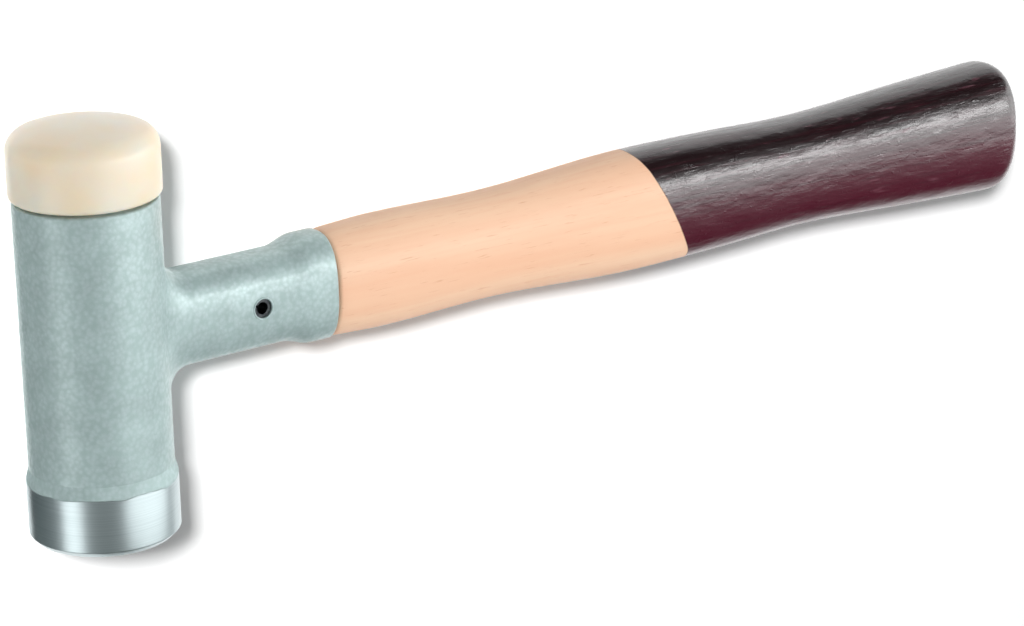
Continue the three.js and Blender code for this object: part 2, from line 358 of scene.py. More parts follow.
# %% Head tube
TUBE_WALL = 2.6
TUBE_ROUND = 0.6
bore = TUBE_RADIUS - TUBE_WALL
tube_outline = [
    (bore, tube_low.z, 0),
    (TUBE_RADIUS, tube_low.z, 0),
    (TUBE_RADIUS, tube_high.z, TUBE_ROUND),
    (bore, tube_high.z, 0),
]
tube_mesh = turned(tube_outline, closed=True)
finish_piece(tube_mesh, "painted_tube", hammertone, "head_tube")

# %% [markdown]
# ## Masked paint edge
# The steel face is turned bright below, and the paint of the head runs down over its shoulder to a
# hand-masked edge. Two objects could meet at that edge, but the paint is too thin to be worth a mesh,
# so one material holds both: the height above the face chooses, with noise that makes the edge waver.
# The spigot in the tube stays bare.

# %% Masked paint edge
PAINT_EDGE = 13.9
EDGE_WAVER = 0.5
EDGE_WAVER_SIZE = 9
EDGE_BLUR = 0.12
STEEL_ANISOTROPY = 0.4

turned_steel, tree, shader, place = new_finish("turned_steel", anisotropic=STEEL_ANISOTROPY)
height = add_node(tree, "SeparateXYZ", {0: place}).outputs["Z"]
uneven = noise(tree, place, EDGE_WAVER_SIZE, detail=3.0)
waver = fade(tree, uneven, MOST_NOISE, (-EDGE_WAVER * MM, EDGE_WAVER * MM))
wavy_height = calculate(tree, "SUBTRACT", height, waver)
masked = fade(tree, wavy_height, edge_limits(PAINT_EDGE, EDGE_BLUR))
below_tube = fade(tree, height, (tube_low.z * MM, (tube_low.z + EDGE_BLUR) * MM), (1.0, 0.0))
painted = calculate(tree, "MULTIPLY", masked, below_tube)
print("paint ends", PAINT_EDGE, "mm above the steel face")

# %% [markdown]
# ## Turned steel
# A lathe leaves fine rings round the steel. They are far too fine to model, so noise with thousands of
# repeats along the axis makes them, in the colour and in a tiny bump. Anisotropy about the axis draws
# the highlights out across the rings. The layer of paint adds its own colour, roughness and thickness
# where the mask is.

# %% Turned steel
STEEL_COLOUR = colour(206, 219, 221)
STEEL_DULL = colour(194, 208, 210)
STEEL_ROUGHNESS = 0.3
SHOULDER_ROUGHNESS = 0.6
RING_REPEATS = (20, 20, 6000)
RING_DEPTH = 0.0024
PAINT_THICKNESS = 0.12

rings = streaky_noise(tree, place, RING_REPEATS, detail=4.0)
bare = mix_colours(tree, fade(tree, rings, MIDDLE_NOISE), STEEL_DULL, STEEL_COLOUR)
mottle = paint_colour(tree, place)[0]
tree.links.new(mix_colours(tree, painted, bare, mottle), shader.inputs["Base Color"])
tree.links.new(fade(tree, painted, ends=(1.0, PAINT_METAL)), shader.inputs["Metallic"])
roughness = fade(tree, painted, ends=(STEEL_ROUGHNESS, SHOULDER_ROUGHNESS))
tree.links.new(roughness, shader.inputs["Roughness"])
about_axis = add_node(tree, "Tangent", direction_type="RADIAL", axis="Z")
tree.links.new(about_axis.outputs["Tangent"], shader.inputs["Tangent"])
paint_height = calculate(tree, "MULTIPLY", painted, PAINT_THICKNESS)
ring_height = calculate(tree, "MULTIPLY", rings, RING_DEPTH)
add_bump(tree, shader, calculate(tree, "ADD", paint_height, ring_height))
print("turning rings are", RING_DEPTH, "mm deep, the paint is", PAINT_THICKNESS, "mm thick")

# %% [markdown]
# ## Steel face
# A turned plug: a chamfered bright band, a cone up to the tube and a spigot inside it. A bevel modifier
# would round every corner alike. Here each corner has its own round, and those small rounds are what
# make the edges of machined steel glint.

# %% Steel face
FACE_RADIUS = steel_high.x
FACE_CHAMFER = 1.4
BAND_HEIGHT = 14.3
FIT_CLEARANCE = 0.15
CORNER_ROUND = 0.3
SOFT_ROUND = 0.6
plug_radius = bore - FIT_CLEARANCE
steel_outline = [
    (0, 0, 0),
    (FACE_RADIUS - FACE_CHAMFER, 0, CORNER_ROUND),
    (FACE_RADIUS, FACE_CHAMFER, CORNER_ROUND),
    (FACE_RADIUS, BAND_HEIGHT, SOFT_ROUND),
    (TUBE_RADIUS, tube_low.z, 0),
    (plug_radius, tube_low.z, 0),
    (plug_radius, steel_high.z, SOFT_ROUND),
    (0, steel_high.z, 0),
]
steel_mesh = turned(steel_outline)
steel_face = finish_piece(steel_mesh, "bright_steel_face", turned_steel, "steel_face")

# %% [markdown]
# ## Nylon
# The soft face is cast nylon: cream, satin and a little translucent, so that light creeps round its
# edge and warms it. A plain plastic would look like painted card. Subsurface scattering lets red light
# travel furthest, and faint patches and a rubbed bump keep the large plain surface from looking like
# paper.

# %% Nylon
NYLON_CREAM = colour(235, 229, 214)
NYLON_WARM = colour(239, 223, 197)
NYLON_ROUGHNESS = 0.33
SCATTER_SHARE = 0.6
SCATTER_DEPTH = 5
SCATTER_BY_COLOUR = (1.0, 0.7, 0.45)
PATCH_SIZE = 16
RUB_SIZE = 1.2
RUB_DEPTH = 0.05
RUB_STRENGTH = 0.25

cream_nylon, tree, shader, place = new_finish(
    "cream_nylon",
    roughness=NYLON_ROUGHNESS,
    subsurface_weight=SCATTER_SHARE,
    subsurface_radius=SCATTER_BY_COLOUR,
    subsurface_scale=SCATTER_DEPTH * MM,
)
patches = fade(tree, noise(tree, place, PATCH_SIZE), MIDDLE_NOISE)
tree.links.new(mix_colours(tree, patches, NYLON_CREAM, NYLON_WARM), shader.inputs["Base Color"])
rub = noise(tree, place, RUB_SIZE, detail=4.0)
add_bump(tree, shader, calculate(tree, "MULTIPLY", rub, RUB_DEPTH), RUB_STRENGTH)
print("nylon scatters light over", SCATTER_DEPTH, "mm")

# %% [markdown]
# ## Nylon face
# Another turned plug. Its foot is rounded and stands a little above the tube, which leaves the dark
# line of shadow between them, and a large round leads from the side into a slightly crowned top. The
# crown is one arc of a large circle, so its points come from a formula.

# %% Nylon face
SIDE_RADIUS = nylon_high.x
FOOT_ROUND = 1.1
SEAM_GAP = 0.7
EDGE_RADIUS = 4.6
CROWN_RADIUS = 60
CROWN_STEPS = 8
SPIGOT_CHAMFER = 1


def crown_height(reach):
    """Height of the crowned top at a reach from the head's axis."""
    return nylon_high.z - CROWN_RADIUS + math.sqrt(CROWN_RADIUS ** 2 - reach ** 2)


crown = [SIDE_RADIUS * (1 - step / CROWN_STEPS) for step in range(CROWN_STEPS + 1)]
inside_edge = [reach for reach in crown if reach < SIDE_RADIUS - EDGE_RADIUS]
nylon_outline = [
    (0, nylon_low.z, 0),
    (plug_radius - SPIGOT_CHAMFER, nylon_low.z, 0),
    (plug_radius, nylon_low.z + SPIGOT_CHAMFER, 0),
    (plug_radius, tube_high.z + SEAM_GAP, 0),
    (SIDE_RADIUS, tube_high.z + SEAM_GAP, FOOT_ROUND),
    (SIDE_RADIUS, crown_height(SIDE_RADIUS), EDGE_RADIUS),
    *[(reach, crown_height(reach), 0) for reach in inside_edge],
]
finish_piece(turned(nylon_outline), "cream_nylon_face", cream_nylon, "nylon_face")

# %% [markdown]
# ## Drawing out oval pieces
# The socket and the handle are ovals, squarer than an ellipse, that grow and shrink along their length.
# A loft would be the CAD tool for it. In bmesh, a ring of edges is extruded, scaled about the handle's
# axis and moved on, from section to section, which keeps every edge loop clean. A ring can also be bent
# to lie on the round head.

# %% Drawing out oval rings
OVAL_STEPS = 96
ACROSS_HANDLE = Matrix.Rotation(math.pi / 2, 4, "Y")
FROM_AXIS = Matrix.Translation((0, 0, -AXIS_HEIGHT * MM))


def first_ring(bm, squareness, reach, width, height):
    """A ring of edges round the handle's axis, squarer than an ellipse, at a reach from the head."""
    ring = bmesh.ops.create_circle(bm, segments=OVAL_STEPS, radius=1, matrix=ACROSS_HANDLE)["verts"]
    for vert in ring:
        across = math.copysign(abs(vert.co.y) ** (2 / squareness), vert.co.y)
        upward = math.copysign(abs(vert.co.z) ** (2 / squareness), vert.co.z)
        vert.co = (reach * MM, across * width * MM, (AXIS_HEIGHT + upward * height) * MM)
    return list({edge for vert in ring for edge in vert.link_edges})


def next_ring(bm, ring, grow_width, grow_height, step=0.0):
    """Extrudes a ring, scales the new one about the handle's axis and moves it on."""
    made = bmesh.ops.extrude_edge_only(bm, edges=ring)["geom"]
    verts = [item for item in made if isinstance(item, bmesh.types.BMVert)]
    edges = [item for item in made if isinstance(item, bmesh.types.BMEdge)]
    bmesh.ops.scale(bm, vec=(1, grow_width, grow_height), space=FROM_AXIS, verts=verts)
    bmesh.ops.translate(bm, vec=(step * MM, 0, 0), verts=verts)
    fresh = set(verts)
    return [edge for edge in edges if fresh.issuperset(edge.verts)]


def ring_verts(ring):
    """The vertices of a ring of edges."""
    return {vert for edge in ring for vert in edge.verts}


def lay_on_tube(ring, radius):
    """Bends a ring round the head, at a radius from its axis."""
    for vert in ring_verts(ring):
        vert.co.x = math.sqrt((radius * MM) ** 2 - vert.co.y ** 2)


print("rings of", OVAL_STEPS, "edges")

# %% [markdown]
# ## Sections of the socket
# An oval steel sleeve holds the handle. Its neck is plain, its mouth is belled to take the wood, and
# its rim is rounded. The sections could be typed in one by one; a smooth step for the bell and a
# quarter circle for the rim give them from a few sizes. The list goes on round the rim and back down
# the bore, so that the wall is real.

# %% Sections of the socket
SOCKET_WALL = 2.2
NECK_WIDTH = 8.1
NECK_HEIGHT = 11.4
BELL_LENGTH = 7.5
BELL_STEPS = 10
MOUTH_LENGTH = 5.6
MOUTH_WIDTH = 8.9
MOUTH_HEIGHT = 13.3
RIM_ROUND = 0.8
bell_start = socket_high.x - MOUTH_LENGTH - BELL_LENGTH


def smooth_share(share):
    """Runs from 0 to 1 and starts and ends level."""
    return share * share * (3 - 2 * share)


def socket_stations():
    """(reach, half width, half height) of the outside, from the neck to the rim, and then of the bore."""
    stations = [(bell_start, NECK_WIDTH, NECK_HEIGHT)]
    for step in range(1, BELL_STEPS + 1):
        share = step / BELL_STEPS
        spread = smooth_share(share)
        width = NECK_WIDTH + (MOUTH_WIDTH - NECK_WIDTH) * spread
        height = NECK_HEIGHT + (MOUTH_HEIGHT - NECK_HEIGHT) * spread
        stations.append((bell_start + BELL_LENGTH * share, width, height))
    for step in range(ROUND_STEPS + 1):
        turn = math.pi / 2 * step / ROUND_STEPS
        inset = RIM_ROUND * (1 - math.cos(turn))
        reach = socket_high.x - RIM_ROUND * (1 - math.sin(turn))
        stations.append((reach, MOUTH_WIDTH - inset, MOUTH_HEIGHT - inset))
    stations.append((socket_high.x, MOUTH_WIDTH - SOCKET_WALL, MOUTH_HEIGHT - SOCKET_WALL))
    stations.append((bell_start, NECK_WIDTH - SOCKET_WALL, NECK_HEIGHT - SOCKET_WALL))
    return stations


print("socket has", len(socket_stations()), "sections from neck to bore")

# %% [markdown]
# ## Handle socket
# The sleeve is welded to the tube, and the paint hides the weld under a soft fillet. It could be two
# cylinders joined by a Boolean and a bevel, but the fillet would pinch. Here a ring that already lies
# on the tube is drawn out in steps along a quarter circle, then through the sections, and is bridged to
# itself inside the bore.

# %% Handle socket
SOCKET_SQUARENESS = 2.6
FILLET_ABOVE = 6
FILLET_BESIDE = 3
FILLET_STEPS = 10
SUNK_INTO_TUBE = 0.5

bm = bmesh.new()
width, height = NECK_WIDTH + FILLET_BESIDE, NECK_HEIGHT + FILLET_ABOVE
ring = first_ring(bm, SOCKET_SQUARENESS, TUBE_RADIUS, width, height)
lay_on_tube(ring, TUBE_RADIUS - SUNK_INTO_TUBE)
root_ring = ring
for step in range(FILLET_STEPS + 1):
    turn = math.pi / 2 * step / FILLET_STEPS
    sunk = 1 - math.sin(turn)
    next_width, next_height = NECK_WIDTH + FILLET_BESIDE * sunk, NECK_HEIGHT + FILLET_ABOVE * sunk
    ring = next_ring(bm, ring, next_width / width, next_height / height)
    lay_on_tube(ring, TUBE_RADIUS + FILLET_ABOVE * (1 - math.cos(turn)))
    width, height = next_width, next_height
for reach, next_width, next_height in socket_stations():
    ring = next_ring(bm, ring, next_width / width, next_height / height)
    for vert in ring_verts(ring):
        vert.co.x = reach * MM
    width, height = next_width, next_height
ring = next_ring(bm, ring, 1, 1)
lay_on_tube(ring, TUBE_RADIUS - SUNK_INTO_TUBE)
bmesh.ops.bridge_loops(bm, edges=root_ring + ring)
handle_socket = finish_piece(bm, "painted_socket", hammertone, "handle_socket")

# %% [markdown]
# ## Pin hole
# The hole for the cross pin goes through both walls of the socket. Edge loops could be laid round it,
# but a Boolean cut is enough, because the hole lies in the plain neck and nothing bends there. The cut
# is applied at once, so that the mesh is final and the cutter can go.

# %% Pin hole
HOLE_CLEARANCE = 0.15
HOLE_STEPS = 48
CUTTER_LENGTH = 4 * NECK_WIDTH
pin_radius = (pin_high.x - pin_low.x) / 2
hole_radius = pin_radius + HOLE_CLEARANCE
bm = bmesh.new()
bmesh.ops.create_cone(
    bm,
    cap_ends=True,
    segments=HOLE_STEPS,
    radius1=hole_radius * MM,
    radius2=hole_radius * MM,
    depth=CUTTER_LENGTH * MM,
    matrix=Matrix.Translation(pin_centre * MM) @ Matrix.Rotation(math.pi / 2, 4, "X"),
)
cutter_mesh = bpy.data.meshes.new("pin_hole_cutter")
bm.to_mesh(cutter_mesh)
bm.free()
cutter = bpy.data.objects.new("pin_hole_cutter", cutter_mesh)
scene.collection.objects.link(cutter)
cut = handle_socket.modifiers.new("pin_hole", "BOOLEAN")
cut.operation = "DIFFERENCE"
cut.object = cutter
cut.solver = "EXACT"
bpy.context.view_layer.update()
cut_socket = handle_socket.evaluated_get(bpy.context.evaluated_depsgraph_get())
handle_socket.data = bpy.data.meshes.new_from_object(cut_socket)
handle_socket.modifiers.clear()
bpy.data.objects.remove(cutter)
socket_faces = len(handle_socket.data.polygons)
print("hole of", round(2 * hole_radius, 2), "mm cut, socket has", socket_faces, "faces")

# %% [markdown]
# ## Paint bead
# Enamel gathers round the edge of a hole and dries as a small bead. It could be painted on as a pale
# ring, but then no light would catch it. A small circle, spun about the pin's axis and half sunk into
# the socket, stands up from the wall, and a mirror puts the same bead round the hole at the back.

# %% Paint bead round the pin hole
BEAD_RADIUS = 0.28
BEAD_STEPS = 12
BEAD_OUTWARD = 0.6 * BEAD_RADIUS
BEAD_SUNK = 0.4 * BEAD_RADIUS
bead_middle = Vector((pin_centre.x + hole_radius + BEAD_OUTWARD, BEAD_SUNK - NECK_WIDTH, pin_centre.z))
bm = bmesh.new()
bead_ring = bmesh.ops.create_circle(
    bm,
    segments=BEAD_STEPS,
    radius=BEAD_RADIUS * MM,
    matrix=Matrix.Translation(bead_middle * MM),
)["verts"]
bead_edges = list({edge for vert in bead_ring for edge in vert.link_edges})
bmesh.ops.spin(
    bm,
    geom=bead_ring + bead_edges,
    axis=(0, 1, 0),
    cent=pin_centre * MM,
    angle=2 * math.pi,
    steps=HOLE_STEPS,
    use_merge=True,
)
bmesh.ops.mirror(bm, geom=bm.verts[:] + bm.edges[:] + bm.faces[:], axis="Y")
finish_piece(bm, "paint_bead", hammertone, None)

# %% [markdown]
# ## Spring steel
# The pin is hardened spring steel, blackened by its heat treatment. A flat dark grey would look like
# plastic at this size. A metal with a middling roughness and noise between two dark greys keeps the
# look of scale.

# %% Spring steel
SPRING_DARK = colour(70, 74, 78)
SPRING_PALE = colour(104, 108, 110)
SPRING_ROUGHNESS = 0.38
SCALE_SIZE = 0.8

spring_steel, tree, shader, place = new_finish("spring_steel", metallic=1.0, roughness=SPRING_ROUGHNESS)
scale = fade(tree, noise(tree, place, SCALE_SIZE, detail=3.0), MIDDLE_NOISE)
tree.links.new(mix_colours(tree, scale, SPRING_DARK, SPRING_PALE), shader.inputs["Base Color"])
print("spring steel has spots of", SCALE_SIZE, "mm")

# %% [markdown]
# ## Spring pin
# The pin is a strip of spring steel rolled into a tube with a slot, so that its open end looks like a
# dark C. A tube with a slot cut into it would need a Boolean. One face, the strip's cross-section, spun
# about the pin's axis by less than a full turn, makes the roll and the slot at once.

# %% Spring pin
PIN_WALL = 0.75
PIN_SLOT = 0.9
SLOT_TOWARDS = math.radians(205)
slot_angle = 2 * math.asin(PIN_SLOT / 2 / pin_radius)
inner_radius = pin_radius - PIN_WALL
strip_corners = [
    (inner_radius, pin_low.y),
    (pin_radius, pin_low.y),
    (pin_radius, pin_high.y),
    (inner_radius, pin_high.y),
]
bm = bmesh.new()
strip_verts = []
for reach, along in strip_corners:
    corner = Vector((pin_centre.x + reach, along, pin_centre.z))
    strip_verts.append(bm.verts.new(corner * MM))
strip = bm.faces.new(strip_verts)
to_slot = Matrix.Rotation(SLOT_TOWARDS + slot_angle / 2, 4, "Y")
bmesh.ops.rotate(bm, cent=pin_centre * MM, matrix=to_slot, verts=bm.verts[:])
bmesh.ops.spin(
    bm,
    geom=[strip],
    axis=(0, 1, 0),
    cent=pin_centre * MM,
    angle=2 * math.pi - slot_angle,
    steps=HOLE_STEPS,
)
finish_piece(bm, "rolled_pin", spring_steel, "cross_pin")

# %% [markdown]
# ## Dip line
# The handle is one piece of pale wood, dipped at the grip into dark red lacquer up to a slanted line.
# Two meshes could meet at that line, but it wavers and the surface runs on smoothly, so a mask in the
# material does it: a slanted plane across the handle, bent by a little noise.

# %% Dip line
DIP_REACH = 160.5
DIP_SLANT = 0.53
DIP_WAVER = 0.3
DIP_WAVER_SIZE = 14
DIP_BLUR = 0.15
COAT_ROUGHNESS = 0.27
COAT_IOR = 1.7
WOOD_SPECULAR = 0.25

lacquered_wood, tree, shader, place = new_finish(
    "lacquered_wood",
    coat_roughness=COAT_ROUGHNESS,
    coat_ior=COAT_IOR,
    specular_ior_level=WOOD_SPECULAR,
)
axes = add_node(tree, "SeparateXYZ", {0: place}).outputs
above_axis = calculate(tree, "SUBTRACT", axes["Z"], AXIS_HEIGHT * MM)
slanted = calculate(tree, "ADD", axes["X"], calculate(tree, "MULTIPLY", above_axis, DIP_SLANT))
waver = fade(tree, noise(tree, place, DIP_WAVER_SIZE), MOST_NOISE, (-DIP_WAVER * MM, DIP_WAVER * MM))
dipped = fade(tree, calculate(tree, "ADD", slanted, waver), edge_limits(DIP_REACH, DIP_BLUR))
print("lacquer starts", DIP_REACH, "mm from the head's axis")

# %% [markdown]
# ## Pale wood
# The bare wood is fine and even, with a soft figure, thin lines of grain and short dark flecks along
# the handle. A wave texture would draw rings that are too regular. Three layers of noise, each drawn
# out along X by its own amount, look more like split wood.

# %% Pale wood
WOOD_PALE = colour(245, 209, 179)
WOOD_DEEP = colour(239, 191, 159)
WOOD_FLECK = colour(222, 166, 132)
FIGURE_REPEATS = (8, 160, 160)
GRAIN_REPEATS = (30, 900, 900)
FLECK_REPEATS = (160, 2600, 2600)
GRAIN_EDGE = (0.5, 0.72)
GRAIN_SHARE = (0.0, 0.5)
FLECK_EDGE = (0.64, 0.74)
FLECK_SHARE = (0.0, 0.6)

figure = streaky_noise(tree, place, FIGURE_REPEATS, detail=3.0)
grain = streaky_noise(tree, place, GRAIN_REPEATS, detail=5.0)
flecks = streaky_noise(tree, place, FLECK_REPEATS, detail=2.0)
wood = mix_colours(tree, fade(tree, figure, MOST_NOISE), WOOD_PALE, WOOD_DEEP)
wood = mix_colours(tree, fade(tree, grain, GRAIN_EDGE, GRAIN_SHARE), wood, WOOD_DEEP)
wood = mix_colours(tree, fade(tree, flecks, FLECK_EDGE, FLECK_SHARE), wood, WOOD_FLECK)
print("grain repeats", GRAIN_REPEATS[1], "times per metre across the wood")

# %% [markdown]
# ## Red lacquer
# The lacquer is wine red, with streaks of the grain and pale scuffs from use. Its upper side is painted
# shade: the light alone does not darken it enough, so the colour turns almost black with the height
# above the handle's axis. The one dark colour serves both the painted shade and the grain streaks. The
# mask of the dip then chooses between wood and lacquer, and lays a clear coat on the lacquer only.

# %% Red lacquer
LACQUER_RED = colour(74, 0, 28)
# painted shade on the grip's upper side and the grain streaks share this dark colour
LACQUER_PAINTED_SHADE_AND_STREAK = colour(22, 0, 4)
LACQUER_SCUFF = colour(120, 70, 84)
PAINTED_SHADE_FROM = -3
PAINTED_SHADE_TO = 9
STREAK_EDGE = (0.35, 0.7)
STREAK_SHARE = (-0.2, 0.2)
SCUFF_REPEATS = (120, 700, 700)
SCUFF_EDGE = (0.64, 0.76)
SCUFF_SHARE = (0.0, 0.5)

scuffs = streaky_noise(tree, place, SCUFF_REPEATS, detail=6.0)
# painted shade: the lacquer's colour darkens towards the upper side of the grip
painted_shade_on_top = fade(tree, above_axis, (PAINTED_SHADE_FROM * MM, PAINTED_SHADE_TO * MM))
streaks = fade(tree, grain, STREAK_EDGE, STREAK_SHARE)
lacquer = mix_colours(tree, calculate(tree, "ADD", painted_shade_on_top, streaks), LACQUER_RED, LACQUER_PAINTED_SHADE_AND_STREAK)
lacquer = mix_colours(tree, fade(tree, scuffs, SCUFF_EDGE, SCUFF_SHARE), lacquer, LACQUER_SCUFF)
tree.links.new(mix_colours(tree, dipped, wood, lacquer), shader.inputs["Base Color"])
tree.links.new(dipped, shader.inputs["Coat Weight"])
print("lacquer darkens from", PAINTED_SHADE_FROM, "to", PAINTED_SHADE_TO, "mm above the axis")

# %% [markdown]
# ## Gloss and relief of the handle
# Dipped lacquer is smooth but never flat: it swells along the grain and holds specks of dust, and it
# ends in a tiny step on the wood. The bare wood has open pores. A perfect gloss would show one clean
# white streak; this relief, in fractions of a millimetre, breaks the streak up as on the real grip.

# %% Gloss and relief of the handle
WORN_EDGE = (0.4, 0.7)
WOOD_ROUGHNESS = (0.4, 0.58)
LACQUER_SMOOTHER = 0.12
SWELL_REPEATS = (100, 260, 260)
SWELL_HEIGHT = 0.56
DUST_SIZE = 1.3
DUST_EDGE = (0.66, 0.76)
DUST_HEIGHT = 0.056
FILM_THICKNESS = 0.08
PORE_EDGE = (0.6, 0.72)
PORE_DEPTH = 0.04

worn = fade(tree, scuffs, WORN_EDGE, WOOD_ROUGHNESS)
smoother = calculate(tree, "MULTIPLY", dipped, LACQUER_SMOOTHER)
tree.links.new(calculate(tree, "SUBTRACT", worn, smoother), shader.inputs["Roughness"])
swell = streaky_noise(tree, place, SWELL_REPEATS, detail=4.0)
swells = calculate(tree, "MULTIPLY", swell, SWELL_HEIGHT)
dust = fade(tree, noise(tree, place, DUST_SIZE, detail=1.0), DUST_EDGE, (0.0, DUST_HEIGHT))
film = calculate(tree, "ADD", calculate(tree, "ADD", swells, dust), FILM_THICKNESS)
pores = fade(tree, flecks, PORE_EDGE, (0.0, PORE_DEPTH))
relief = calculate(tree, "SUBTRACT", calculate(tree, "MULTIPLY", dipped, film), pores)
add_bump(tree, shader, relief)
print("lacquer is", FILM_THICKNESS, "mm thick and pores are", PORE_DEPTH, "mm deep")

# %% [markdown]
# ## Sections of the CAD handle
# The shape of the handle was fitted to the photograph in the CAD model, so it is not fitted again here.
# The rings of the CAD mesh are read back, from the shoulder to the butt, as reach, half width and half
# height.

# %% Sections of the CAD handle
SHOULDER_GAP = 0.3
RING_GAP = 0.02
shoulder = socket_high.x + SHOULDER_GAP


def handle_sections():
    """(reach, half width, half height) of the CAD handle's rings from its shoulder to its butt."""
    sections = []
    points = [vert.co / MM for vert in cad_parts["handle"].data.vertices]
    for point in sorted(points, key=lambda point: point.x):
        if point.x < shoulder + RING_GAP:
            continue
        width, height = abs(point.y), abs(point.z - AXIS_HEIGHT)
        if sections and point.x - sections[-1][0] < RING_GAP:
            last = sections[-1]
            sections[-1] = (last[0], max(last[1], width), max(last[2], height))
        else:
            sections.append((point.x, width, height))
    return sections


sections = handle_sections()
print("CAD handle has", len(sections), "rings behind its shoulder")

# %% [markdown]
# ## Wooden handle
# One ring is drawn out from a short tang inside the socket, over the rounded shoulder and through the
# sections to the butt, and both ends are closed. The CAD mesh itself could be used, but its facets
# would show in the long highlight of the lacquer. A subdivision surface smooths the run from section to
# section.

# %% Wooden handle
HANDLE_SQUARENESS = 2.3
TANG_DEPTH = 6
TANG_GAP = 0.15
RIM_STEP = 0.1
SHOULDER_ROUND = 0.4
END_SHARE = 0.3
SMOOTH_LEVEL = 1
tang_width, tang_height = MOUTH_WIDTH - SOCKET_WALL - TANG_GAP, MOUTH_HEIGHT - SOCKET_WALL - TANG_GAP
rim_width, rim_height = MOUTH_WIDTH - RIM_STEP, MOUTH_HEIGHT - RIM_STEP
stations = [
    (shoulder, tang_width, tang_height),
    (shoulder, rim_width - SHOULDER_ROUND, rim_height - SHOULDER_ROUND),
    (shoulder + SHOULDER_ROUND, rim_width, rim_height),
    *sections,
]
bm = bmesh.new()
reach, width, height = shoulder - TANG_DEPTH, tang_width, tang_height
ring = first_ring(bm, HANDLE_SQUARENESS, reach, width, height)
front_ring = ring
for next_reach, next_width, next_height in stations:
    ring = next_ring(bm, ring, next_width / width, next_height / height, next_reach - reach)
    reach, width, height = next_reach, next_width, next_height
ring = next_ring(bm, ring, END_SHARE, END_SHARE)
bmesh.ops.contextual_create(bm, geom=ring)
bmesh.ops.contextual_create(bm, geom=front_ring)
handle = finish_piece(bm, "dipped_handle", lacquered_wood, "handle")
smoothing = handle.modifiers.new("smooth_run", "SUBSURF")
smoothing.levels = SMOOTH_LEVEL
smoothing.render_levels = SMOOTH_LEVEL

# %% [markdown]
# ## Shot and closing disc
# The loose shot and the disc above it are sealed inside the head, so nothing is modelled again and the
# CAD meshes stay. They still get a plain steel finish, because the part may be cut open or taken apart
# in another scene.

# %% Shot and closing disc
SHOT_DARK = colour(150, 153, 155)
SHOT_PALE = colour(186, 189, 190)
SHOT_ROUGHNESS = 0.3
SMEAR_SIZE = 1.5

plain_steel, tree, shader, place = new_finish("plain_steel", metallic=1.0, roughness=SHOT_ROUGHNESS)
smear = fade(tree, noise(tree, place, SMEAR_SIZE, detail=3.0), MIDDLE_NOISE)
tree.links.new(mix_colours(tree, smear, SHOT_DARK, SHOT_PALE), shader.inputs["Base Color"])
inside = [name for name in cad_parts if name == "closing_disc" or name.startswith("shot_")]
for name in inside:
    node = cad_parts[name]
    node.data.materials.clear()
    node.data.materials.append(plain_steel)
print("plain steel on", len(inside), "inner pieces")

# %% [markdown]
# ## White paper
# The hammer of the photograph lies on white. Paper is a matt white, and a little glow for the camera,
# for mirrors and for glass makes up the rest, so that no more light has to fall on the hammer. The
# paper still takes a shadow. From behind it is clear, so that views of the hammer's other side stay
# open.

# %% White paper
SHEET_WHITE = 0.86
SHEET_GLOW = 0.2

paper = bpy.data.materials.new("white_paper")
paper.use_nodes = True
tree = paper.node_tree
tree.nodes.clear()
rays = add_node(tree, "LightPath").outputs
mirrors = calculate(tree, "MAXIMUM", rays["Is Glossy Ray"], rays["Is Transmission Ray"])
seen = calculate(tree, "MAXIMUM", rays["Is Camera Ray"], mirrors)
glow = add_node(tree, "Emission", {"Strength": calculate(tree, "MULTIPLY", seen, SHEET_GLOW)})
matt = add_node(tree, "BsdfDiffuse", {"Color": (SHEET_WHITE, SHEET_WHITE, SHEET_WHITE, 1)})
front = add_node(tree, "AddShader", {0: glow.outputs[0], 1: matt.outputs[0]})
clear = add_node(tree, "BsdfTransparent")
facing = add_node(tree, "NewGeometry").outputs["Backfacing"]
side = add_node(tree, "MixShader", {0: facing, 1: front.outputs[0], 2: clear.outputs[0]})
add_node(tree, "OutputMaterial", {"Surface": side.outputs[0]})
print("paper is", SHEET_WHITE, "white with a glow of", SHEET_GLOW)

# %% [markdown]
# ## White sheet
# The floor of this scene is a large sheet that stands upright in the frame of the part, because the
# hammer lies on its side in the photograph. It stops just short of the steel face's side. A single flat
# square is enough for it.

# %% White sheet
SHEET_SIZE = 4000
SHEET_GAP = 0.1
sheet_depth = steel_high.y + SHEET_GAP


def lay_paper(name, material, size, middle):
    """A square of paper, upright in the frame, with its front towards the camera."""
    bm = bmesh.new()
    upright = Matrix.Translation(middle * MM) @ Matrix.Rotation(math.pi / 2, 4, "X")
    bmesh.ops.create_grid(bm, x_segments=1, y_segments=1, size=size / 2 * MM, matrix=upright)
    mesh = bpy.data.meshes.new(name)
    bm.to_mesh(mesh)
    bm.free()
    mesh.materials.append(material)
    square = bpy.data.objects.new(name, mesh)
    scene.collection.objects.link(square)
    return square


sheet = lay_paper("white_sheet", paper, SHEET_SIZE, Vector((0, sheet_depth, 0)))
print("sheet lies at y =", round(sheet_depth, 2), "mm")

# %% [markdown]
# ## Dark cards
# Bright steel mirrors the white sheet beside it, and its edge would vanish against the white.
# Photographers lay dark cards just outside the picture to keep the edge. Two squares do it here, left
# of the picture and below it. Only mirrors see them, so that they throw no shadow and stay out of other
# views, as the lamps do.

# %% Dark cards
CARD_SIZE = 500
CARD_LIFT = 0.3
CARD_GREY = colour(106, 112, 113)
CARD_ROUGHNESS = 0.9
PICTURE_LEFT = -18.5
PICTURE_BOTTOM = -90

